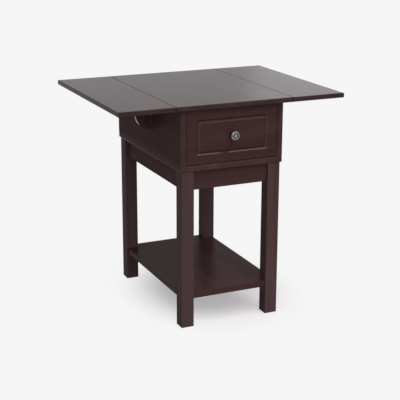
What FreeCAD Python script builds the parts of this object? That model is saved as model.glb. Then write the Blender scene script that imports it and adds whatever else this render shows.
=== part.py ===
import FreeCAD, Part
import os
import re
import Sketcher
from FreeCAD import Placement, Rotation, Vector

# Drop-leaf end table in millimetres: +X to the right, +Y to the back, +Z up.
# The origin is on the floor under the middle of the table.

DIMENSIONS = {
    # Top: a fixed centre board that stands out past the case, and two leaves.
    "table_height": 610,
    "side_overhang": 18.75,
    "end_overhang": 18.5,
    "leaf_width": 154.5,
    "seam_gap": 2,
    "top_thickness": 13,
    "top_round": 2.5,
    # Case that holds the drawer, on its waist board.
    "case_width": 295.5,
    "case_depth": 455,
    "case_height": 148,
    "side_thickness": 16.5,
    "back_thickness": 9,
    "waist_thickness": 17.5,
    "waist_inset": 1,
    "waist_round": 4,
    "rail_thickness": 18,
    "rail_width": 50,
    "rail_gap": 2,
    "arris": 1.2,
    # Legs, aprons and the corner blocks between them.
    "leg_size": 35.5,
    "leg_inset": 4,
    "apron_height": 51,
    "apron_thickness": 18,
    "apron_inset": 8,
    "block_thickness": 22,
    "block_height": 40,
    "block_gap": 0.5,
    "bolt_radius": 3,
    "nut_radius": 6,
    "nut_height": 5,
    "bolt_end": 4,
    # Lower shelf and the steel angles under it.
    "shelf_height": 95.5,
    "shelf_thickness": 17,
    "shelf_inset": 4,
    "angle_arm": 20,
    "angle_width": 16,
    "angle_thickness": 2,
    # Drawer front with its raised panel.
    "front_thickness": 20,
    "front_reveal": 1.2,
    "front_gap_below": 2,
    "front_gap_above": 3,
    "panel_margin_side": 28,
    "panel_margin_below": 23.5,
    "panel_margin_above": 26,
    "panel_depth": 4,
    "panel_slope": 4.4,
    "panel_bevel": 5,
    # Drawer box and its wooden runners.
    "box_thickness": 12,
    "box_top_gap": 16,
    "box_rear_gap": 33,
    "box_side_gap": 5,
    "box_lift": 8,
    "bottom_thickness": 5,
    "bottom_groove": 5,
    "bottom_lift": 8,
    "groove_clearance": 0.2,
    "runner_width": 10,
    "runner_height": 14,
    "runner_lift": 58,
    "runner_clearance": 0.3,
    "runner_end_gap": 4,
    # Knob and its screw.
    "knob_radius": 12.5,
    "knob_length": 22.5,
    "knob_foot_radius": 8,
    "knob_foot_length": 3,
    "knob_neck_radius": 5,
    "knob_neck_length": 10,
    "knob_rim_length": 16,
    "knob_face_radius": 7,
    "knob_bore_depth": 14,
    "knob_screw_radius": 2,
    "knob_screw_head": 4,
    "knob_screw_head_height": 2.5,
    "knob_screw_fit": 0.05,
    "screw_end_gap": 1,
    # Butt hinges under the seams and beside the brackets.
    "barrel_radius": 3,
    "pin_radius": 1.5,
    "pin_fit": 0.05,
    "knuckle_gap": 0.4,
    "hinge_plate": 2,
    "leaf_hinge_length": 50,
    "hinge_case_gap": 1,
    "leaf_hinge_place": 160,
    "bracket_hinge_length": 60,
    "bracket_hinge_width": 20,
    "bracket_hinge_lift": 12,
    # Swinging brackets under the leaves.
    "bracket_reach": 46,
    "bracket_height": 88,
    "bracket_thickness": 12,
    "bracket_round": 44,
    "bracket_place": 30,
    "bracket_end_gap": 1,
    "bracket_top_gap": 0.5,
    "bracket_fall_front": 16.5,
    "bracket_fall_rear": 30.5,
    "bracket_fall_start_front": 20,
    "bracket_fall_start_rear": 11.5,
    # One fit serves all bolt and screw holes, and one overrun all cuts.
    "hole_fit": 0.05,
    "overrun": 1,
}

# Sizes and places that follow from the driving dimensions.
DERIVED = {
    "top_under": "table_height - top_thickness",
    "top_depth": "case_depth + 2 * end_overhang",
    "centre_width": "case_width + 2 * side_overhang",
    "seam_place": "centre_width / 2 + seam_gap / 2",
    "pin_height": "top_under - barrel_radius",
    "leaf_hinge_width": "seam_place - half_case - hinge_case_gap",
    "half_case": "case_width / 2",
    "half_depth": "case_depth / 2",
    "half_opening": "half_case - side_thickness",
    "waist_top": "top_under - case_height",
    "waist_under": "waist_top - waist_thickness",
    "leg_outer_x": "half_case - leg_inset",
    "leg_outer_y": "half_depth - leg_inset",
    "leg_inner_x": "leg_outer_x - leg_size",
    "leg_inner_y": "leg_outer_y - leg_size",
    "apron_outer_x": "leg_outer_x - apron_inset",
    "apron_outer_y": "leg_outer_y - apron_inset",
    "apron_inner_x": "apron_outer_x - apron_thickness",
    "apron_inner_y": "apron_outer_y - apron_thickness",
    "leg_step": "leg_size - apron_inset - apron_thickness",
    "block_near": "2 * leg_step + block_gap",
    "block_far": "block_near + block_thickness * sqrt(2)",
    "bolt_height": "waist_under - apron_height + block_height / 2",
    "shelf_under": "shelf_height - shelf_thickness",
    "front_width": "2 * (half_opening - front_reveal)",
    "front_height": "case_height - front_gap_below - front_gap_above",
    "front_back_face": "front_thickness - half_depth",
    "panel_width": "front_width - 2 * panel_margin_side",
    "panel_height": "front_height - panel_margin_below - panel_margin_above",
    "bevel_inset": "panel_slope + panel_bevel",
    "box_length": "case_depth - front_thickness - back_thickness - box_rear_gap",
    "box_height": "case_height - box_lift - rail_thickness - box_top_gap",
    "box_under": "waist_top + box_lift",
    "box_outer": "half_opening - box_side_gap",
    "box_inner": "box_outer - box_thickness",
    "runner_groove": "runner_width - box_side_gap + runner_clearance",
    "bottom_under": "box_under + bottom_lift",
    "knob_height": "waist_top + front_gap_below + panel_margin_below + panel_height / 2",
    "bracket_front": "-bracket_place",
    "bracket_pin_x": "half_case + barrel_radius",
    "bracket_pin_y": "bracket_front - barrel_radius",
    "bracket_under": "top_under - bracket_top_gap - bracket_height",
    "bracket_hinge_under": "bracket_under + bracket_hinge_lift",
    "bracket_hinge_middle": "bracket_hinge_under + bracket_hinge_length / 2",
}

NAME = re.compile(r"[a-z][a-z_]*")

doc = FreeCAD.newDocument("drop_leaf_end_table")
sheet = doc.addObject("Spreadsheet::Sheet", "dims")
for row, (name, number) in enumerate(DIMENSIONS.items(), start=1):
    sheet.set(f"A{row}", name)
    sheet.set(f"B{row}", str(number))
    sheet.setAlias(f"B{row}", name)
doc.recompute()

nodes = []


def formula(text):
    """The sheet's expression for a sum of named sizes."""

    def cell(match):
        word = match.group()
        if word in DERIVED:
            return f"({formula(DERIVED[word])})"
        return f"dims.{word}" if word in DIMENSIONS else word

    return NAME.sub(cell, text)


def bind(thing, **sizes):
    """Ties properties of a feature to sums of named sizes."""
    for key, text in sizes.items():
        thing.setExpression(key, formula(text))


def place(thing, x="0", y="0", z="0", turn=None):
    """Puts a piece at named sizes from the table's origin."""
    if turn:
        thing.Placement = Placement(Vector(), turn)
    for axis, text in zip("xyz", (x, y, z)):
        thing.setExpression(f"Placement.Base.{axis}", formula(text))
    return thing


def node(thing):
    """Lists a finished piece for export under its label."""
    nodes.append(thing)
    return thing


def new_body(label):
    return doc.addObject("PartDesign::Body", label)


def new_sketch(body, role, back="0"):
    """A sketch on an origin plane of its own body, set back from it."""
    sketch = body.newObject("Sketcher::SketchObject", body.Name + "_sketch")
    plane = next(p for p in body.Origin.OriginFeatures if p.Role == role)
    sketch.AttachmentSupport = [(plane, "")]
    sketch.MapMode = "FlatFace"
    if back != "0":
        sketch.setExpression("AttachmentOffset.Base.z", formula(back))
    return sketch


def hold(sketch, kind, ends, text):
    """A distance in a sketch, tied to a sum of named sizes."""
    index = sketch.addConstraint(Sketcher.Constraint(kind, *ends, 1))
    sketch.setExpression(f"Constraints[{index}]", formula(text))


def pin_down(sketch, geometry, point, x, y):
    """Holds a point of a sketch at named sizes from the sketch's origin."""
    hold(sketch, "DistanceX", (-1, 1, geometry, point), x)
    hold(sketch, "DistanceY", (-1, 1, geometry, point), y)


def outline(sketch, points):
    """A closed outline of straight lines through points given in named sizes."""
    first = sketch.GeometryCount
    total = len(points)
    corners = [Vector(n % total, n * n, 0) for n in range(total)]
    for n in range(total):
        sketch.addGeometry(Part.LineSegment(corners[n], corners[(n + 1) % total]))
    for n in range(total):
        ends = (first + n, 2, first + (n + 1) % total, 1)
        sketch.addConstraint(Sketcher.Constraint("Coincident", *ends))
    for n, (x, y) in enumerate(points):
        pin_down(sketch, first + n, 1, x, y)


def rectangle(sketch, x, y, width, height):
    """A rectangle from its lower left corner and its two sides."""
    right = f"{x} + {width}"
    high = f"{y} + {height}"
    outline(sketch, [(x, y), (right, y), (right, high), (x, high)])


def circle(sketch, x, y, radius):
    shape = Part.Circle(Vector(), Vector(0, 0, 1), 1)
    index = sketch.addGeometry(shape)
    hold(sketch, "Radius", (index,), radius)
    pin_down(sketch, index, 3, x, y)


def feature(body, kind, sketch, length=None, through=False, back=False, middle=False):
    """A pad or pocket of a sketch, by a length or right through."""
    made = body.newObject(f"PartDesign::{kind}", f"{body.Name}_{kind.lower()}")
    made.Profile = sketch
    made.Reversed = back
    if through:
        made.Type = "ThroughAll"
    else:
        bind(made, Length=length)
    if middle:
        made.Midplane = True
    return made


TINY = 1e-6


def near(first, second):
    return abs(first - second) < TINY


def edges_of(shape, test):
    """The names of the edges whose box passes a test."""
    return [f"Edge{n}" for n, edge in enumerate(shape.Edges, start=1) if test(edge.BoundBox)]


def ruled_loft(body, kind, first, second):
    """A loft with flat sides between two sketches, added or cut."""
    loft = body.newObject(f"PartDesign::{kind}", f"{body.Name}_{kind}")
    loft.Profile = first
    loft.Sections = [second]
    loft.Ruled = True


def soften(body, radius, test):
    """Rounds the edges of a body's newest feature that pass a test."""
    doc.recompute()
    base = body.Tip
    names = edges_of(base.Shape, test)
    made = body.newObject("PartDesign::Fillet", body.Name + "_round")
    made.Base = (base, names)
    bind(made, Radius=radius)
    return made


def board(label, width, depth, height, x, y, z):
    """A rectangular board from its low corner and its three sides."""
    body = new_body(label)
    sketch = new_sketch(body, "XY_Plane")
    rectangle(sketch, "0", "0", width, depth)
    feature(body, "Pad", sketch, height)
    return place(body, x, y, z)


def group(label, members):
    """One node of several separate solids."""
    made = doc.addObject("Part::Compound", label)
    made.Links = members
    return node(made)


def level(box):
    return near(box.ZMin, box.ZMax)


def upright(box):
    return near(box.XMin, box.XMax) and near(box.YMin, box.YMax)


SIDES = (("left", -1), ("right", 1))
ENDS = (("front", -1), ("back", 1))
HALF_TURN = Rotation(Vector(0, 0, 1), 180)


def signed(sign, text):
    """A sum of named sizes on one side of the middle."""
    return f"{sign} * ({text})"


def low_corner(sign, near_edge, far_edge):
    """The lower of two places that are mirrored about the middle."""
    return near_edge if sign > 0 else f"-({far_edge})"


# Top boards

def centre_top():
    """The fixed middle board."""
    body = board(
        "centre_top", "centre_width", "top_depth", "top_thickness",
        "-centre_width / 2", "-top_depth / 2", "top_under",
    )
    soften(body, "top_round", lambda box: level(box) and near(box.YMin, box.YMax))
    return node(body)


def leaf(side, sign):
    """A drop leaf: rounded on its three free edges, square at the seam."""
    near_edge = "centre_width / 2 + seam_gap"
    left_edge = low_corner(sign, near_edge, near_edge + " + leaf_width")
    body = board(
        f"{side}_leaf", "leaf_width", "top_depth", "top_thickness",
        left_edge, "-top_depth / 2", "top_under",
    )
    doc.recompute()
    seam = body.Shape.BoundBox.XMin if sign > 0 else body.Shape.BoundBox.XMax
    seam -= body.Placement.Base.x

    def on_seam(box):
        return near(box.XMin, seam) and near(box.XMax, seam)

    soften(body, "top_round", lambda box: level(box) and not on_seam(box))
    return node(body)


# Case

def case_side(side, sign):
    """A side panel of the case, whose front edge shows beside the drawer."""
    body = board(
        f"case_{side}_side", "side_thickness", "case_depth", "case_height",
        low_corner(sign, "half_opening", "half_case"), "-half_depth", "waist_top",
    )
    soften(body, "arris", lambda box: upright(box) and near(box.YMin, 0))
    return node(body)


def case_back():
    """The back panel, let in between the sides."""
    return node(board(
        "case_back", "2 * half_opening", "back_thickness", "case_height",
        "-half_opening", "half_depth - back_thickness", "waist_top",
    ))


def case_bottom():
    """The waist board under the case, flush with its sides and rounded on its other edges."""
    depth = "case_depth - 2 * waist_inset"
    body = board(
        "case_bottom", "case_width", depth, "waist_thickness",
        "-half_case", "waist_inset - half_depth", "waist_under",
    )
    soften(body, "waist_round", lambda box: level(box) and (near(box.ZMax, 0) or box.XLength > box.YLength))
    return node(body)


def top_rail(end, y):
    """A flat rail between the sides, which carries the centre board."""
    return node(board(
        f"top_{end}_rail", "2 * half_opening", "rail_width", "rail_thickness",
        "-half_opening", y, "top_under - rail_thickness",
    ))


def drawer_runner(side, sign):
    """A wooden strip on a case side, which carries the drawer in its groove."""
    start = "front_back_face + runner_end_gap"
    return node(board(
        f"{side}_drawer_runner", "runner_width",
        f"half_depth - back_thickness - ({start})", "runner_height",
        low_corner(sign, "half_opening - runner_width", "half_opening"),
        start, "waist_top + runner_lift",
    ))


# Legs, aprons and corner blocks

def bolt_hole(body, x, y, height, angle):
    """A level hole for a corner bolt, along a diagonal of the table."""
    sketch = new_sketch(body, "XZ_Plane")
    sketch.AttachmentOffset = Placement(Vector(), Rotation(Vector(0, 1, 0), angle))
    sketch.setExpression("AttachmentOffset.Base.x", formula(x))
    sketch.setExpression("AttachmentOffset.Base.z", formula(f"-({y})"))
    circle(sketch, "0", height, "bolt_radius + hole_fit")
    feature(body, "Pocket", sketch, through=True, back=True)


def leg(end, along, side, across):
    """A square leg, bored from its inner corner for the corner bolt."""
    body = board(
        f"{end}_{side}_leg", "leg_size", "leg_size", "waist_under",
        low_corner(across, "leg_inner_x", "leg_outer_x"),
        low_corner(along, "leg_inner_y", "leg_outer_y"), "0",
    )
    soften(body, "arris", upright)
    bolt_hole(body, "leg_size / 2", "leg_size / 2", "bolt_height", -across * (90 - 45 * along))
    return node(body)


def aprons():
    """Four boards between the legs, under the waist board."""
    under = "waist_under - apron_height"
    for end, sign in ENDS:
        body = board(
            f"{end}_apron", "2 * leg_inner_x", "apron_thickness", "apron_height",
            "-leg_inner_x", low_corner(sign, "apron_inner_y", "apron_outer_y"), under,
        )
        soften(body, "arris", lambda box: level(box) and near(box.ZMin, 0) and box.YLength < TINY)
        node(body)
    for side, sign in SIDES:
        body = board(
            f"{side}_apron", "apron_thickness", "2 * leg_inner_y", "apron_height",
            low_corner(sign, "apron_inner_x", "apron_outer_x"), "-leg_inner_y", under,
        )
        soften(body, "arris", lambda box: level(box) and near(box.ZMin, 0) and box.XLength < TINY)
        node(body)


def corner_block(label, x, y, quarter):
    """A mitred block across the corner behind a leg."""
    body = new_body(label)
    sketch = new_sketch(body, "XY_Plane")
    outline(sketch, [("block_near", "0"), ("block_far", "0"), ("0", "block_far"), ("0", "block_near")])
    feature(body, "Pad", sketch, "block_height")
    bolt_hole(body, "0", "0", "block_height / 2", 135)
    turn = Rotation(Vector(0, 0, 1), 90 * quarter)
    return place(body, x, y, "bolt_height - block_height / 2", turn)


CORNERS = ((-1, -1), (1, -1), (1, 1), (-1, 1))


def corner_fixings():
    """Blocks, bolts and nuts that hold the four legs to the aprons."""
    blocks = []
    bolts = []
    nuts = []
    to_corner = "(apron_inset + apron_thickness - leg_size / 2) * sqrt(2)"
    to_nut = f"{to_corner} + block_far / sqrt(2)"
    for quarter, (across, along) in enumerate(CORNERS):
        x = signed(across, "apron_inner_x")
        y = signed(along, "apron_inner_y")
        blocks.append(corner_block(f"corner_block_{quarter + 1}", x, y, quarter))
        turn = Rotation(Vector(0, 0, 1), Vector(-across, -along, 0))
        bolt = doc.addObject("Part::Cylinder", f"leg_bolt_{quarter + 1}")
        bind(bolt, Radius="bolt_radius", Height=f"{to_nut} + nut_height + bolt_end")
        x = signed(across, "leg_outer_x - leg_size / 2")
        y = signed(along, "leg_outer_y - leg_size / 2")
        bolts.append(place(bolt, x, y, "bolt_height", turn))
        nuts.append(nut(f"leg_nut_{quarter + 1}", across, along, turn))
    group("corner_blocks", blocks)
    group("leg_bolts", bolts)
    group("leg_nuts", nuts)


def nut(label, across, along, turn):
    """A hexagon nut against the inner face of a corner block."""
    prism = doc.addObject("Part::Prism", label + "_prism")
    prism.Polygon = 6
    bind(prism, Circumradius="nut_radius", Height="nut_height")
    bore = doc.addObject("Part::Cylinder", label + "_bore")
    bind(bore, Radius="bolt_radius + hole_fit", Height="nut_height")
    made = doc.addObject("Part::Cut", label)
    made.Base = prism
    made.Tool = bore
    x = signed(across, "apron_inner_x - block_far / 2")
    y = signed(along, "apron_inner_y - block_far / 2")
    return place(made, x, y, "bolt_height", turn)


# Lower shelf

def lower_shelf():
    """The shelf, notched round the four legs."""
    width = "2 * (leg_outer_x - shelf_inset)"
    depth = "2 * (leg_outer_y - shelf_inset)"
    body = board(
        "lower_shelf", width, depth, "shelf_thickness",
        "shelf_inset - leg_outer_x", "shelf_inset - leg_outer_y", "shelf_under",
    )
    soften(body, "arris", level)
    notch = "leg_size - shelf_inset"
    sketch = new_sketch(body, "XY_Plane")
    for x in ("-overrun", f"{width} - ({notch})"):
        for y in ("-overrun", f"{depth} - ({notch})"):
            rectangle(sketch, x, y, f"{notch} + overrun", f"{notch} + overrun")
    feature(body, "Pocket", sketch, through=True, back=True)
    return node(body)


def shelf_angle(label, across, along):
    """A small steel angle between a leg and the underside of the shelf."""
    body = new_body(label)
    sketch = new_sketch(body, "XZ_Plane")
    outline(sketch, [
        ("0", "0"), ("0", "-angle_arm"), ("angle_thickness", "-angle_arm"),
        ("angle_thickness", "-angle_thickness"), ("angle_arm", "-angle_thickness"), ("angle_arm", "0"),
    ])
    feature(body, "Pad", sketch, "angle_width", middle=True)
    x = signed(across, "leg_inner_x")
    y = signed(along, "leg_outer_y - leg_size / 2")
    return place(body, x, y, "shelf_under", HALF_TURN if across > 0 else None)


def shelf_angles():
    """The four angles that carry the shelf."""
    group("shelf_angles", [
        shelf_angle(f"shelf_angle_{n}", *corner) for n, corner in enumerate(CORNERS, start=1)
    ])


# Drawer

def drawer_front():
    """The drawer front: a raised panel inside a sloped groove, bored for the knob."""
    body = new_body("drawer_front")
    sketch = new_sketch(body, "XZ_Plane")
    rectangle(sketch, "0", "0", "front_width", "front_height")
    feature(body, "Pad", sketch, "front_thickness", back=True)
    soften(body, "arris", lambda box: near(box.YMin, 0) and near(box.YMax, 0))
    rim = new_sketch(body, "XZ_Plane")
    rectangle(rim, "panel_margin_side", "panel_margin_below", "panel_width", "panel_height")
    floor = new_sketch(body, "XZ_Plane", "-panel_depth")
    panel_section(floor, "panel_slope")
    ruled_loft(body, "SubtractiveLoft", rim, floor)
    root = new_sketch(body, "XZ_Plane", "-panel_depth")
    panel_section(root, "panel_slope")
    field = new_sketch(body, "XZ_Plane")
    panel_section(field, "bevel_inset")
    ruled_loft(body, "AdditiveLoft", root, field)
    bore = new_sketch(body, "XZ_Plane")
    circle(bore, "front_width / 2", "panel_margin_below + panel_height / 2", "knob_screw_radius + hole_fit")
    feature(body, "Pocket", bore, through=True)
    place(body, "-front_width / 2", "-half_depth", "waist_top + front_gap_below")
    return node(body)


def panel_section(sketch, inset):
    """The raised panel's outline, drawn in from the groove's rim by an inset."""
    rectangle(
        sketch, f"panel_margin_side + {inset}", f"panel_margin_below + {inset}",
        f"panel_width - 2 * ({inset})", f"panel_height - 2 * ({inset})",
    )


def drawer_side(side, sign):
    """A drawer side, grooved outside for its runner and inside for the bottom."""
    body = board(
        f"drawer_{side}_side", "box_thickness", "box_length", "box_height",
        low_corner(sign, "box_inner", "box_outer"), "front_back_face", "box_under",
    )
    outside = ("0", "runner_groove") if sign < 0 else ("box_thickness - runner_groove", "runner_groove")
    inside = ("box_thickness - bottom_groove", "bottom_groove") if sign < 0 else ("0", "bottom_groove")
    sketch = new_sketch(body, "XZ_Plane")
    rectangle(
        sketch, outside[0], "runner_lift - box_lift - runner_clearance",
        outside[1], "runner_height + 2 * runner_clearance",
    )
    rectangle(
        sketch, inside[0], "bottom_lift - groove_clearance",
        inside[1], "bottom_thickness + 2 * groove_clearance",
    )
    feature(body, "Pocket", sketch, through=True)
    return node(body)


def drawer_back():
    """The back of the drawer box, standing on the drawer bottom."""
    return node(board(
        "drawer_back", "2 * box_inner", "box_thickness", "box_height - bottom_lift - bottom_thickness",
        "-box_inner", "front_back_face + box_length - box_thickness", "bottom_under + bottom_thickness",
    ))


def drawer_bottom():
    """The thin drawer bottom, held in the grooves of the two sides."""
    half = "box_inner + bottom_groove - groove_clearance"
    return node(board(
        "drawer_bottom", f"2 * ({half})", "box_length", "bottom_thickness",
        f"-({half})", "front_back_face", "bottom_under",
    ))


def drawer_knob():
    """A turned metal knob: foot, neck and bevelled head, bored for its screw."""
    body = new_body("drawer_knob")
    sketch = new_sketch(body, "XY_Plane")
    bore = "knob_screw_radius + knob_screw_fit"
    outline(sketch, [
        ("0", "knob_length"), ("0", "knob_bore_depth"), (bore, "knob_bore_depth"), (bore, "0"),
        ("knob_foot_radius", "0"), ("knob_foot_radius", "knob_foot_length"),
        ("knob_neck_radius", "knob_foot_length"), ("knob_neck_radius", "knob_neck_length"),
        ("knob_radius", "knob_neck_length"), ("knob_radius", "knob_rim_length"),
        ("knob_face_radius", "knob_length"),
    ])
    turned = body.newObject("PartDesign::Revolution", "drawer_knob_turned")
    turned.Profile = sketch
    turned.ReferenceAxis = (sketch, ["V_Axis"])
    turned.Angle = 360
    place(body, "0", "-half_depth", "knob_height", HALF_TURN)
    return node(body)


def knob_screw():
    """The machine screw that holds the knob from inside the drawer."""
    shank = doc.addObject("Part::Cylinder", "knob_screw_shank")
    bind(shank, Radius="knob_screw_radius", Height="front_thickness + knob_bore_depth - screw_end_gap")
    head = doc.addObject("Part::Cylinder", "knob_screw_head")
    bind(head, Radius="knob_screw_head", Height="knob_screw_head_height")
    head.setExpression("Placement.Base.z", formula("-knob_screw_head_height"))
    made = doc.addObject("Part::Fuse", "knob_screw")
    made.Base = shank
    made.Tool = head
    turn = Rotation(Vector(0, 0, 1), Vector(0, -1, 0))
    return node(place(made, "0", "front_back_face", "knob_height", turn))


# Butt hinges

def hinge_plate(label, length, width, fixed):
    """Half of a butt hinge along Y, its plate along +X; the fixed half holds the riveted pin."""
    body = new_body(label)
    barrel = new_sketch(body, "XZ_Plane")
    circle(barrel, "0", "0", "barrel_radius")
    feature(body, "Pad", barrel, length, middle=True)
    plate = new_sketch(body, "XZ_Plane")
    rectangle(plate, "0", "barrel_radius - hinge_plate", width, "hinge_plate")
    feature(body, "Pad", plate, length, middle=True)
    room = "barrel_radius + knuckle_gap"
    gaps = new_sketch(body, "XY_Plane")
    if fixed:
        tall = f"{length} / 3 + knuckle_gap"
        rectangle(gaps, f"-({room})", f"-({tall}) / 2", f"2 * ({room})", tall)
    else:
        inner = f"{length} / 6 - knuckle_gap / 2"
        tall = f"{length} / 2 + overrun - ({inner})"
        rectangle(gaps, f"-({room})", inner, f"2 * ({room})", tall)
        rectangle(gaps, f"-({room})", f"-({inner}) - ({tall})", f"2 * ({room})", tall)
    feature(body, "Pocket", gaps, through=True, middle=True)
    pin = new_sketch(body, "XZ_Plane")
    if fixed:
        circle(pin, "0", "0", "pin_radius")
        feature(body, "Pad", pin, length, middle=True)
    else:
        circle(pin, "0", "0", "pin_radius + pin_fit")
        feature(body, "Pocket", pin, through=True, middle=True)
    return body


def leaf_hinges():
    """Two butt hinges under each seam."""
    size = ("leaf_hinge_length", "leaf_hinge_width")
    fixed = []
    for side, sign in SIDES:
        x = signed(sign, "seam_place")
        moving = []
        for end, along in ENDS:
            y = signed(along, "leaf_hinge_place")
            name = f"{side}_{end}_hinge"
            half = hinge_plate(name + "_fixed", *size, True)
            fixed.append(place(half, x, y, "pin_height", HALF_TURN if sign > 0 else None))
            half = hinge_plate(name + "_moving", *size, False)
            moving.append(place(half, x, y, "pin_height", None if sign > 0 else HALF_TURN))
        group(f"{side}_hinge_leaf_plates", moving)
    group("hinge_fixed_plates", fixed)


# Swinging brackets

def bracket(side, sign):
    """A wooden bracket with a rounded lower corner, whose top falls away to its tip."""
    body = new_body(f"{side}_bracket")
    length = "bracket_reach - bracket_end_gap"
    sketch = new_sketch(body, "XZ_Plane")
    rectangle(sketch, "0", "0", length, "bracket_height")
    feature(body, "Pad", sketch, "bracket_thickness", back=True)
    doc.recompute()
    tip = body.Shape.BoundBox.XMax
    soften(body, "bracket_round", lambda box: near(box.XMin, tip) and near(box.ZMax, 0))
    falls = [("bracket_fall_start_front", "bracket_fall_front", "0")]
    falls.append(("bracket_fall_start_rear", "bracket_fall_rear", "-bracket_thickness"))
    if sign < 0:
        falls = [falls[1][:2] + ("0",), falls[0][:2] + ("-bracket_thickness",)]
    sections = []
    for start, fall, back in falls:
        section = new_sketch(body, "XZ_Plane", back)
        slope = f"({fall}) / (bracket_reach - ({start}))"
        beyond = f"{length} + overrun"
        low = f"bracket_height - ({fall}) - overrun * {slope}"
        outline(section, [
            (f"{start} - bracket_end_gap", "bracket_height"), (beyond, low), (beyond, "bracket_height"),
        ])
        sections.append(section)
    ruled_loft(body, "SubtractiveLoft", *sections)
    inner = signed(sign, "half_case + bracket_end_gap")
    if sign > 0:
        place(body, inner, "bracket_front", "bracket_under")
    else:
        place(body, inner, "bracket_front + bracket_thickness", "bracket_under", HALF_TURN)
    return node(body)


def bracket_hinges():
    """An upright butt hinge in front of each bracket."""
    size = ("bracket_hinge_length", "bracket_hinge_width")
    fixed = []
    for side, sign in SIDES:
        where = (signed(sign, "bracket_pin_x"), "bracket_pin_y", "bracket_hinge_middle")
        half = hinge_plate(f"{side}_bracket_fixed_plate", *size, True)
        wood = Vector(-sign, 0, 0)
        reach = Vector(0, -1, 0)
        fixed.append(place(half, *where, Rotation(reach, wood.cross(reach), wood, "ZXY")))
        half = hinge_plate(f"{side}_bracket_swing_plate", *size, False)
        wood = Vector(0, 1, 0)
        reach = Vector(sign, 0, 0)
        node(place(half, *where, Rotation(reach, wood.cross(reach), wood, "ZXY")))
    group("bracket_fixed_plates", fixed)


# The whole table

centre_top()
case_back()
case_bottom()
top_rail("front", "front_back_face + rail_gap")
top_rail("back", "half_depth - back_thickness - rail_width")
for side, sign in SIDES:
    leaf(side, sign)
    case_side(side, sign)
    bracket(side, sign)
    drawer_runner(side, sign)
    drawer_side(side, sign)
    for end, along in ENDS:
        leg(end, along, side, sign)
leaf_hinges()
bracket_hinges()
aprons()
corner_fixings()
lower_shelf()
shelf_angles()
drawer_front()
drawer_back()
drawer_bottom()
drawer_knob()
knob_screw()
doc.recompute()

for thing in doc.Objects:
    if "Invalid" in thing.State or "Error" in thing.State:
        raise RuntimeError(f"{thing.Label} failed: {thing.State}")
for piece in nodes:
    if piece.Shape.isNull() or not piece.Shape.isValid() or not piece.Shape.Solids:
        raise RuntimeError(f"{piece.Label} has no sound shape")

os.makedirs("parts", exist_ok=True)
for piece in nodes:
    piece.Shape.exportStep(os.path.join("parts", piece.Label + ".step"))
print(len(nodes), "nodes,", sum(len(piece.Shape.Solids) for piece in nodes), "solids")
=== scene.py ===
# %% [markdown]
# # A drop-leaf end table in dark stained wood
# The construction model already holds every board, hinge and fixing at its true size, in metres.
# This lesson dresses it: it sets the camera and a plain studio, stains the wood, paints the ironwork,
# and models the few small things that construction leaves out, such as the cast knob and the screws.

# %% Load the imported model
import math

import bmesh
import bpy
from mathutils import Matrix, Vector


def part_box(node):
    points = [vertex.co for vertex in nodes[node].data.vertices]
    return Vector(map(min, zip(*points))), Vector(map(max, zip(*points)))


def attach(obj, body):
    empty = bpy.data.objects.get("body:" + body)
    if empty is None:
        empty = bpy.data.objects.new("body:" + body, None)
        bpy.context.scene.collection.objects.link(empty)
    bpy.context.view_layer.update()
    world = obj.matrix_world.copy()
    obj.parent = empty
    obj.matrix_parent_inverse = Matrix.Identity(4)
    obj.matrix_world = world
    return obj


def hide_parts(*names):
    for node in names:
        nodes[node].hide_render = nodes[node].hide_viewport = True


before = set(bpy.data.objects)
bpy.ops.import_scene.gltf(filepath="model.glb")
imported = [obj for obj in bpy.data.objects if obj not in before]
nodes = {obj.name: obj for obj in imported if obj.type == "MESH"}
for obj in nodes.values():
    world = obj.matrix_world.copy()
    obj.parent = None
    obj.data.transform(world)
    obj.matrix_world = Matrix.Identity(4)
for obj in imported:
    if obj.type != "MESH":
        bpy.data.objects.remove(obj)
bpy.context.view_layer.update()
scene = bpy.context.scene
print("boards and fixings:", len(nodes))

# %% [markdown]
# ## Camera
# The photograph was taken from the front left, a little above the top, with a long lens.
# The place, the turn and the lens below come from fitting the corners of the table to the picture.
# A long lens from far away keeps the legs almost parallel, so no lens shift is needed.

# %% Camera
CAMERA_PLACE = (-1.19462, -2.63903, 1.1468)
SENSOR_MM = 36
FOCAL_PIXELS = 1059.36
PHOTO_PIXELS = 400
YAW, PITCH, ROLL = (math.radians(angle) for angle in (24.55, 16.63, 0.18))
ahead = Vector((math.sin(YAW) * math.cos(PITCH), math.cos(YAW) * math.cos(PITCH), -math.sin(PITCH)))
level = Vector((math.cos(YAW), -math.sin(YAW), 0))
upward = level.cross(ahead)
side = level * math.cos(ROLL) + upward * math.sin(ROLL)
top = upward * math.cos(ROLL) - level * math.sin(ROLL)

lens = bpy.data.cameras.new("camera")
lens.sensor_width = SENSOR_MM
lens.lens = SENSOR_MM * FOCAL_PIXELS / PHOTO_PIXELS
camera = bpy.data.objects.new("camera", lens)
aim = Matrix((side, top, -ahead)).transposed().to_4x4()
camera.matrix_world = Matrix.Translation(CAMERA_PLACE) @ aim
scene.collection.objects.link(camera)
scene.camera = camera
print("lens", round(lens.lens, 1), "mm")

# %% [markdown]
# ## Studio
# The table stands on pale paper with no visible edge. Two sun lamps with wide angles light it at a plain level,
# one from above and one from the front, and a sky of even grey fills the shadows.
# A third and very weak one from behind puts a faint sheen on the right of the top.
# The camera sees one even pale floor and backdrop, and mirrored rays and rays through glass see it too.
# The floor keeps the shadow under the table, as pale as in the photo.

# %% Short hand for nodes
scene.view_settings.view_transform = "Standard"


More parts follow.
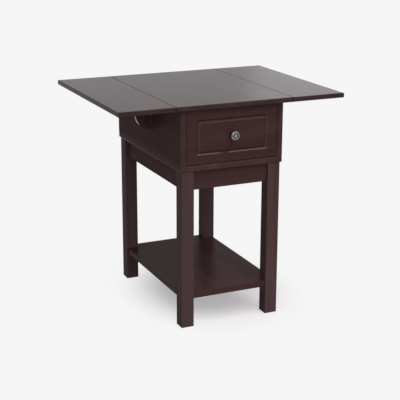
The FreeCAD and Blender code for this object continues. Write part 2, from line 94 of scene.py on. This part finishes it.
class Tree:
    """Adds nodes to one node tree and links them."""

    def __init__(self, tree):
        self.tree = tree

    def node(self, kind, **values):
        made = self.tree.nodes.new("ShaderNode" + kind)
        for key, value in values.items():
            setattr(made, key, value)
        return made

    def link(self, source, target):
        self.tree.links.new(source, target)

    def range(self, source, low, high, to_low, to_high, smooth=False):
        made = self.node("MapRange")
        if smooth:
            made.interpolation_type = "SMOOTHSTEP"
        made.inputs["From Min"].default_value = low
        made.inputs["From Max"].default_value = high
        made.inputs["To Min"].default_value = to_low
        made.inputs["To Max"].default_value = to_high
        self.link(source, made.inputs["Value"])
        return made.outputs["Result"]

    def maths(self, operation, first, second):
        made = self.node("Math", operation=operation)
        self.link(first, made.inputs[0])
        self.link(second, made.inputs[1])
        return made.outputs[0]

    def seen(self):
        """1 for the rays that show the background: straight to the camera, mirrored, or through glass."""
        ray = self.node("LightPath")
        bent = self.maths("MAXIMUM", ray.outputs["Is Glossy Ray"], ray.outputs["Is Transmission Ray"])
        return self.maths("MAXIMUM", ray.outputs["Is Camera Ray"], bent)

    def choose(self, share, first, second):
        """A shader that changes from the first to the second with a share."""
        made = self.node("MixShader")
        self.link(share, made.inputs["Fac"])
        self.link(first, made.inputs[1])
        self.link(second, made.inputs[2])
        return made.outputs[0]


def mesh_object(name, shape):
    """Turns a finished bmesh into an object in the scene."""
    mesh = bpy.data.meshes.new(name)
    shape.to_mesh(mesh)
    shape.free()
    made = bpy.data.objects.new(name, mesh)
    scene.collection.objects.link(made)
    return made


# %% Paper floor
PAPER = 0.92
BOUNCE = 0.4
FLOOR_REACH = 40
FLOOR_DROP = 0.0004
SHADOW_CORE, SHADOW_RIM = 0.1, 0.29
LIT_UNDER_TABLE, LIT_FAR_OFF = 0.62, 0.03

ground = bmesh.new()
bmesh.ops.create_grid(ground, x_segments=1, y_segments=1, size=FLOOR_REACH)
bmesh.ops.translate(ground, verts=ground.verts, vec=(0, 0, -FLOOR_DROP))
floor = mesh_object("studio_floor", ground)

sheet = bpy.data.materials.new("pale_paper")
sheet.use_nodes = True
sheet.node_tree.nodes.clear()
paper = Tree(sheet.node_tree)
ground_place = paper.node("TexCoord").outputs["Object"]
bounce = paper.node("BsdfDiffuse")
bounce.inputs["Color"].default_value = (BOUNCE, BOUNCE, BOUNCE, 1)
# The lit paper is tinted pink: painted warm light, as if bounced from the red wood into the shadow.
lit = paper.node("BsdfDiffuse")
lit.inputs["Color"].default_value = (0.97, 0.9, 0.905, 1)
even = paper.node("Emission")
even.inputs["Color"].default_value = (PAPER, PAPER, PAPER, 1)
footprint = paper.node("Mapping")
footprint.inputs["Location"].default_value = (-0.05, 0, 0)
footprint.inputs["Scale"].default_value = (1, 0.8, 1)
paper.link(ground_place, footprint.inputs["Vector"])
distance = paper.node("VectorMath", operation="LENGTH")
paper.link(footprint.outputs[0], distance.inputs[0])
# Only a share of the real shadow shows: most in a patch round the feet, almost none further out.
shadow = paper.range(distance.outputs["Value"], SHADOW_CORE, SHADOW_RIM, LIT_UNDER_TABLE, LIT_FAR_OFF, True)
picture = paper.choose(shadow, even.outputs[0], lit.outputs[0])
surface = paper.choose(paper.seen(), bounce.outputs[0], picture)
paper.link(surface, paper.node("OutputMaterial").inputs["Surface"])
floor.data.materials.append(sheet)

# %% Light and surroundings
def soft_sun(name, energy, width, direction):
    """A lamp that shines the same way everywhere, as wide as a large screen."""
    lamp = bpy.data.lights.new(name, "SUN")
    lamp.energy = energy
    lamp.angle = math.radians(width)
    made = bpy.data.objects.new(name, lamp)
    made.rotation_euler = Vector(direction).to_track_quat("-Z", "Y").to_euler()
    scene.collection.objects.link(made)


SKY = 0.38
soft_sun("overhead_light", 1.6, 60, (-0.14, 0.4, -0.9))
soft_sun("front_light", 1.3, 60, (0.12, 0.95, -0.28))
soft_sun("rim_light", 0.044, 18, (-0.58, -0.79, -0.19))

scene.world = bpy.data.worlds.new("studio")
scene.world.use_nodes = True
scene.world.node_tree.nodes.clear()
air = Tree(scene.world.node_tree)
white = air.node("Background")
white.inputs["Color"].default_value = (PAPER, PAPER, PAPER, 1)
soft = air.node("Background")
soft.inputs["Strength"].default_value = SKY
soft.inputs["Color"].default_value = (1, 1, 1, 1)
around = air.choose(air.seen(), soft.outputs[0], white.outputs[0])
air.link(around, air.node("OutputWorld").inputs["Surface"])
print("studio ready")

# %% [markdown]
# ## Stained wood
# The real boards are a close-grained wood under a dark brown-red stain and a satin lacquer.
# The grain runs along each board, so the recipe takes the direction in which it is stretched, X, Y or Z.
# Broad noise gives the figure, fine noise the fibres, and thin dark dashes the pores.
# The boards keep the construction model's shapes, because their rounds and steps are already right.

# %% Wood recipe
class Recipe(Tree):
    """One material, built from nodes."""

    def __init__(self, name):
        self.material = bpy.data.materials.new(name)
        self.material.use_nodes = True
        super().__init__(self.material.node_tree)
        self.shader = self.tree.nodes["Principled BSDF"]

    def noise(self, where, scale, detail, rough, bend=0.0):
        made = self.node("TexNoise")
        self.link(where, made.inputs["Vector"])
        made.inputs["Scale"].default_value = scale
        made.inputs["Detail"].default_value = detail
        made.inputs["Roughness"].default_value = rough
        made.inputs["Distortion"].default_value = bend
        return made.outputs["Fac"]

    def ramp(self, source, *stops):
        made = self.node("ValToRGB")
        bar = made.color_ramp
        while len(bar.elements) < len(stops):
            bar.elements.new(0.5)
        for element, (place, colour) in zip(bar.elements, stops):
            element.position = place
            element.color = (*colour, 1)
        self.link(source, made.inputs["Fac"])
        return made.outputs["Color"]

    def shade(self, colour, amount):
        """Multiplies a colour by a grey value."""
        made = self.node("Mix", data_type="RGBA", blend_type="MULTIPLY")
        made.inputs["Factor"].default_value = 1
        self.link(colour, made.inputs["A"])
        self.link(amount, made.inputs["B"])
        return made.outputs["Result"]

    def bump(self, height, strength, distance):
        made = self.node("Bump")
        made.inputs["Strength"].default_value = strength
        made.inputs["Distance"].default_value = distance
        self.link(height, made.inputs["Height"])
        self.link(made.outputs["Normal"], self.shader.inputs["Normal"])

    def spot(self, stretch):
        """Object coordinates, stretched along one direction."""
        where = self.node("TexCoord")
        mapping = self.node("Mapping")
        mapping.inputs["Scale"].default_value = stretch
        self.link(where.outputs["Object"], mapping.inputs["Vector"])
        return mapping.outputs["Vector"]


GRAIN_STRETCH = 0.07
FIGURE_SCALE, FIBRE_SCALE, PORE_SCALE = 26, 520, 1300
SLOPING, SQUARE = 0.85, 0.98


def wood(name, along, dark, middle, light, roughness, shine, edge_shine=None):
    """Stained or plain wood with its grain along one axis. Lacquer can gather on sloping faces."""
    recipe = Recipe(f"{name}_grain_{along.lower()}")
    grain = recipe.spot([GRAIN_STRETCH if axis == along else 1 for axis in "XYZ"])
    figure = recipe.noise(grain, FIGURE_SCALE, 3, 0.55, 0.8)
    fibres = recipe.noise(grain, FIBRE_SCALE, 4, 0.6)
    pores = recipe.noise(grain, PORE_SCALE, 1, 0.4)
    colour = recipe.ramp(figure, (0.3, dark), (0.52, middle), (0.74, light))
    streak = recipe.ramp(fibres, (0.3, (0.9, 0.89, 0.89)), (0.7, (1.06, 1.06, 1.06)))
    dashes = recipe.ramp(pores, (0.3, (0.8, 0.79, 0.79)), (0.4, (1, 1, 1)))
    tinted = recipe.shade(recipe.shade(colour, streak), dashes)
    recipe.link(tinted, recipe.shader.inputs["Base Color"])
    dull = recipe.range(fibres, 0.3, 0.7, roughness + 0.05, roughness - 0.04)
    recipe.link(dull, recipe.shader.inputs["Roughness"])
    if edge_shine is None:
        recipe.shader.inputs["Specular IOR Level"].default_value = shine
    else:
        facing = recipe.node("VectorMath", operation="ABSOLUTE")
        recipe.link(recipe.node("TexCoord").outputs["Normal"], facing.inputs[0])
        parts = recipe.node("SeparateXYZ")
        recipe.link(facing.outputs[0], parts.inputs[0])
        upright = recipe.maths("MAXIMUM", parts.outputs["Y"], parts.outputs["Z"])
        largest = recipe.maths("MAXIMUM", parts.outputs["X"], upright)
        gathered = recipe.range(largest, SLOPING, SQUARE, edge_shine, shine, True)
        recipe.link(gathered, recipe.shader.inputs["Specular IOR Level"])
    recipe.bump(recipe.shade(dashes, streak), 0.012, 0.0003)
    return recipe.material


ESPRESSO = ((0.051, 0.0245, 0.0247), (0.062, 0.0305, 0.0306), (0.075, 0.038, 0.038))


def stained(name, along, share, roughness, shine, edge_shine=None):
    """The espresso stain, scaled by a share of its red, green and blue: each board's own tone, and painted light
    on the brackets and legs.
    """
    tones = [[part * each for part, each in zip(tone, share)] for tone in ESPRESSO]
    return wood(name, along, *tones, roughness, shine, edge_shine)


# %% [markdown]
# ## Staining the boards
# A maker cuts each board so that its grain runs the long way.
# The top boards and case sides run front to back, the legs run upright, and the drawer front runs across.
# The boards are not lacquered alike. In the photo the top has a grey sheen,
# while the sides, the legs and the shelf are almost matt. The drawer front and the brackets are satin.
# Lacquer gathers in the groove of the drawer front and on the round edges of the waist, and shines more there.

# %% Stain
MATT = 0.25
SHEEN = 0.18
SATIN = 0.15


def finish_with(material, names):
    """Gives CAD nodes one finish all over."""
    for name in names:
        slots = nodes[name].data.materials
        slots.clear()
        slots.append(material)


finish_with(stained("sheen_espresso", "Y", (0.75, 0.82, 0.86), SHEEN, 0.041),
            ["centre_top", "left_leaf", "right_leaf"])
finish_with(stained("satin_espresso", "X", (0.88, 0.8, 0.8), SATIN, 0.05, 0.25), ["drawer_front"])
# The brackets are stained lighter than the other boards: painted light on front faces that sit in shade under the
# leaves.
finish_with(stained("satin_espresso", "Z", (1.25, 1.25, 1.25), SATIN, 0.2), ["left_bracket", "right_bracket"])
finish_with(stained("matt_espresso", "X", (1, 1, 1), MATT, 0.01), ["front_apron", "back_apron", "case_back"])
finish_with(stained("matt_espresso", "Y", (1, 1, 1), MATT, 0.004),
            ["case_left_side", "case_right_side", "left_apron", "right_apron"])
finish_with(stained("waist_espresso", "Y", (1.1, 1.1, 1.1), MATT, 0.008, 0.11), ["case_bottom"])
finish_with(stained("shelf_espresso", "Y", (0.92, 0.92, 0.92), MATT, 0.009), ["lower_shelf"])
# The legs are stained lighter and greyer than the other boards: a painted sheen in place of the reflection on
# their faces.
finish_with(stained("leg_espresso_painted_sheen", "Z", (1.18, 1.4, 1.43), MATT, 0.006),
            ["front_left_leg", "front_right_leg", "back_left_leg", "back_right_leg"])
print("stained boards ready")

# %% [markdown]
# ## Plain inner wood
# The drawer box, its runners, the top rails and the corner blocks are never seen in use.
# They are left as pale sanded wood without lacquer, which shows its grain more and shines less.

# %% Inner wood
PLAIN = ((0.36, 0.225, 0.11), (0.45, 0.295, 0.155), (0.53, 0.37, 0.21))
plain = {along: wood("plain", along, *PLAIN, 0.58, 0.4) for along in "XY"}
finish_with(plain["Y"], ["drawer_left_side", "drawer_right_side", "drawer_bottom", "left_drawer_runner",
                         "right_drawer_runner"])
finish_with(plain["X"], ["drawer_back", "top_front_rail", "top_back_rail", "corner_blocks"])

# %% [markdown]
# ## Metal fixings
# The hinges and shelf angles are stamped steel under dark bronze paint, and the bolts and nuts are zinc plated.
# Paint has a faint orange-peel surface, and plated steel has fine cloudy marks.

# %% Metal finishes
def painted_metal(name):
    """Dark paint with soft clouds and a faint orange-peel surface."""
    recipe = Recipe(name)
    where = recipe.spot([1, 1, 1])
    cloud = recipe.noise(where, 160, 3, 0.6)
    recipe.link(recipe.ramp(cloud, (0.3, (0.034, 0.022, 0.021)), (0.7, (0.054, 0.036, 0.034))),
                recipe.shader.inputs["Base Color"])
    recipe.link(recipe.range(cloud, 0.3, 0.7, 0.34, 0.46), recipe.shader.inputs["Roughness"])
    recipe.shader.inputs["Metallic"].default_value = 0.15
    recipe.shader.inputs["Specular IOR Level"].default_value = 0.1
    recipe.bump(recipe.noise(where, 1800, 1, 0.4), 0.1, 0.0002)
    return recipe.material


def plated_steel(name):
    """Bright steel with fine cloudy marks."""
    recipe = Recipe(name)
    where = recipe.spot([1, 1, 1])
    cloud = recipe.noise(where, 300, 4, 0.6)
    recipe.link(recipe.ramp(cloud, (0.3, (0.36, 0.36, 0.37)), (0.7, (0.52, 0.52, 0.51))),
                recipe.shader.inputs["Base Color"])
    recipe.link(recipe.range(cloud, 0.3, 0.7, 0.3, 0.42), recipe.shader.inputs["Roughness"])
    recipe.shader.inputs["Metallic"].default_value = 1
    return recipe.material


bronze = painted_metal("dark_bronze_paint")
zinc = plated_steel("zinc_plated_steel")
finish_with(bronze, ["hinge_fixed_plates", "left_hinge_leaf_plates", "right_hinge_leaf_plates", "shelf_angles",
                     "bracket_fixed_plates", "left_bracket_swing_plate", "right_bracket_swing_plate"])
finish_with(zinc, ["leg_bolts", "leg_nuts", "knob_screw"])
print("metal finishes ready")

# %% [markdown]
# ## Cast knob
# The knob is cast in pewter: a turned foot and neck, a round head with a roped rim,
# and petals that swirl to the middle.
# A line is spun into the turned shape, and the petals are pressed into the front by moving its points.
# The height of the relief is kept as an attribute, so the hollows can stay dark and the crests be rubbed bright.

# %% Turn the knob
MM = 0.001
KNOB_PLACE = Vector((0, -0.2275, 0.52125))
KNOB_LINE = [(0, 0), (7.6, 0), (8, 0.6), (8, 2.2), (7.2, 3), (5.4, 4), (4.8, 6), (4.8, 8), (5.6, 9.9), (8, 11.3),
             (10.8, 12.1), (12, 13.1), (12.5, 14.6), (12.2, 16), (11.3, 17), (10.6, 17.2), (10, 17.7), (9, 18.8),
             (7.8, 19.9), (6.4, 20.7), (5, 21.3), (3.6, 21.7), (2.8, 21.8), (2.2, 22.1), (1.4, 22.35), (0, 22.45)]
PETALS = 5
PETAL_INNER, PETAL_OUTER = 2.4, 10.6
PETAL_DEPTH = 2.3
ROPE_LOW, ROPE_HIGH = 12.4, 17
ROPE_STRANDS = 26
ROPE_DEPTH = 0.5
NECK_TOP = 11

turned = bmesh.new()
line = [turned.verts.new((radius * MM, 0, height * MM)) for radius, height in KNOB_LINE]
edges = [turned.edges.new(pair) for pair in zip(line, line[1:])]
bmesh.ops.subdivide_edges(turned, edges=edges, cuts=1)
bmesh.ops.spin(turned, geom=turned.verts[:] + turned.edges[:], cent=(0, 0, 0), axis=(0, 0, 1), dvec=(0, 0, 0),
               angle=math.tau, steps=108, use_merge=True)
bmesh.ops.remove_doubles(turned, verts=turned.verts, dist=1e-6)
bmesh.ops.recalc_face_normals(turned, faces=turned.faces)
turned.normal_update()


def petal_relief(radius, angle):
    """How far the front is pressed in, from 0 on a crest to 1 in a hollow."""
    if not PETAL_INNER < radius < PETAL_OUTER:
        return 0.0
    fade = min(1, (radius - PETAL_INNER) / 1.4, (PETAL_OUTER - radius) / 0.9)
    wave = math.sin(PETALS * (angle + 0.2 * radius) / 2)
    return fade * (1 - abs(wave)) ** 0.7


def rope_relief(height, angle):
    """The twisted rope round the rim."""
    if not ROPE_LOW < height < ROPE_HIGH:
        return 0.0
    fade = min(1, (height - ROPE_LOW) / 0.8, (ROPE_HIGH - height) / 0.8)
    return fade * (0.5 + 0.5 * math.cos(ROPE_STRANDS * angle + 1.5 * height))


relief = turned.verts.layers.float.new("hollow")
moves = []
for vert in turned.verts:
    radius = math.hypot(vert.co.x, vert.co.y) / MM
    angle = math.atan2(vert.co.y, vert.co.x)
    height = vert.co.z / MM
    petal = petal_relief(radius, angle) if height > ROPE_HIGH else 0.0
    rope = rope_relief(height, angle) if radius > 10.5 else 0.0
    # The foot and neck under the head are set as dark as a deep hollow.
    vert[relief] = max(petal, 0.8 * rope, 0.75 if height < NECK_TOP else 0)
    moves.append((vert, vert.normal * (PETAL_DEPTH * petal + ROPE_DEPTH * rope) * MM))
for vert, step in moves:
    vert.co -= step
for face in turned.faces:
    face.smooth = True
bmesh.ops.rotate(turned, verts=turned.verts, cent=(0, 0, 0), matrix=Matrix.Rotation(math.pi / 2, 3, "X"))
bmesh.ops.translate(turned, verts=turned.verts, vec=KNOB_PLACE)
knob = mesh_object("cast_knob", turned)
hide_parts("drawer_knob")
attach(knob, "drawer")
print("knob faces:", len(knob.data.polygons))

# %% Pewter
pewter = Recipe("antique_pewter")
hollow = pewter.node("Attribute", attribute_name="hollow").outputs["Fac"]
tarnish = pewter.noise(pewter.spot([1, 1, 1]), 700, 3, 0.6)
rubbed = pewter.ramp(hollow, (0.12, (0.3, 0.27, 0.26)), (0.4, (0.09, 0.075, 0.07)), (0.7, (0.012, 0.01, 0.009)))
spotted = pewter.ramp(tarnish, (0.3, (0.75, 0.74, 0.73)), (0.7, (1.08, 1.08, 1.08)))
pewter.link(pewter.shade(rubbed, spotted), pewter.shader.inputs["Base Color"])
pewter.link(pewter.range(hollow, 0.1, 0.8, 0.28, 0.6), pewter.shader.inputs["Roughness"])
pewter.shader.inputs["Metallic"].default_value = 0.9
knob.data.materials.append(pewter.material)

# %% [markdown]
# ## Screws
# Each hinge plate and shelf angle is held by countersunk screws with a cross slot.
# One head is made: a low cone is cut by planes into a cross, and the cross is pushed in.
# Copies of it are then turned to face out of each plate, and gathered into one piece for each moving body.

# %% One screw head
HEAD_RIM, HEAD_FACE, HEAD_HEIGHT = 3.3, 2.6, 0.7
SLOT_REACH, SLOT_HALF_WIDTH, SLOT_DEPTH = 1.9, 0.45, 0.5


def screw_head(target, place, facing, turn):
    """Adds a screw head to a bmesh, its rim on a plate and its face outwards."""
    head = bmesh.new()
    bmesh.ops.create_cone(head, cap_ends=True, segments=20, radius1=HEAD_RIM * MM, radius2=HEAD_FACE * MM,
                          depth=HEAD_HEIGHT * MM)
    for direction in (Vector((1, 0, 0)), Vector((0, 1, 0))):
        for offset in (-SLOT_REACH, -SLOT_HALF_WIDTH, SLOT_HALF_WIDTH, SLOT_REACH):
            bmesh.ops.bisect_plane(head, geom=head.verts[:] + head.edges[:] + head.faces[:],
                                   plane_co=direction * offset * MM, plane_no=direction)
    front = [face for face in head.faces if face.normal.z > 0.9]
    cross = []
    for face in front:
        middle = face.calc_center_median() / MM
        reach, width = max(abs(middle.x), abs(middle.y)), min(abs(middle.x), abs(middle.y))
        if reach < SLOT_REACH and width < SLOT_HALF_WIDTH:
            cross.append(face)
    pushed = bmesh.ops.extrude_face_region(head, geom=cross)["geom"]
    sunk = [item for item in pushed if isinstance(item, bmesh.types.BMVert)]
    bmesh.ops.translate(head, verts=sunk, vec=(0, 0, -SLOT_DEPTH * MM))
    bmesh.ops.delete(head, geom=cross, context="FACES")
    bmesh.ops.rotate(head, verts=head.verts, cent=(0, 0, 0), matrix=Matrix.Rotation(turn, 3, "Z"))
    aim = Vector(facing).to_track_quat("Z", "Y").to_matrix()
    bmesh.ops.rotate(head, verts=head.verts, cent=(0, 0, 0), matrix=aim)
    bmesh.ops.translate(head, verts=head.verts, vec=place)
    loose = bpy.data.meshes.new("screw_head")
    head.to_mesh(loose)
    head.free()
    target.from_mesh(loose)
    bpy.data.meshes.remove(loose)


def screw_set(name, body, places):
    """All the screw heads of one body as one piece."""
    gathered = bmesh.new()
    for count, (place, facing) in enumerate(places):
        screw_head(gathered, Vector(place), facing, 0.7 * count)
    made = mesh_object(name, gathered)
    made.data.materials.append(bronze)
    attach(made, body)
    print(name, len(places))


# %% Screw places
SEAM = 0.1675
HALF_CASE = 0.14775
HINGE_REACH = 0.0116
ANGLE_REACH = 0.0124
STEEL = 0.002
PLATE_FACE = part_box("hinge_fixed_plates")[1].z - STEEL
LEG_FACE, LEG_ROW, SHELF_UNDER = 0.10825, 0.20575, 0.0785
HINGE_ROWS = [end * 0.16 + step * 0.015 for end in (-1, 1) for step in (-1, 1)]
BRACKET_ROWS = [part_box("bracket_fixed_plates")[0].z + share * 0.06 for share in (0.18, 0.82)]
down = (0, 0, -1)

fixed_screws = []
for hand, word in ((-1, "left"), (1, "right")):
    leaf_screws = [((hand * (SEAM + HINGE_REACH), y, PLATE_FACE), down) for y in HINGE_ROWS]
    screw_set(f"{word}_leaf_screws", f"{word}_leaf", leaf_screws)
    swing_screws = [((hand * (HALF_CASE + 0.0154), -0.032, z), (0, -1, 0)) for z in BRACKET_ROWS]
    screw_set(f"{word}_bracket_screws", f"{word}_bracket", swing_screws)
    fixed_screws += [((hand * (SEAM - HINGE_REACH), y, PLATE_FACE), down) for y in HINGE_ROWS]
    fixed_screws += [((hand * (HALF_CASE + STEEL), -0.0454, z), (hand, 0, 0)) for z in BRACKET_ROWS]
    for end in (-1, 1):
        leg_face, row = hand * LEG_FACE, end * LEG_ROW
        fixed_screws.append(((leg_face - hand * STEEL, row, SHELF_UNDER - ANGLE_REACH), (-hand, 0, 0)))
        fixed_screws.append(((leg_face - hand * ANGLE_REACH, row, SHELF_UNDER - STEEL), down))
screw_set("fixed_screws", "base", fixed_screws)
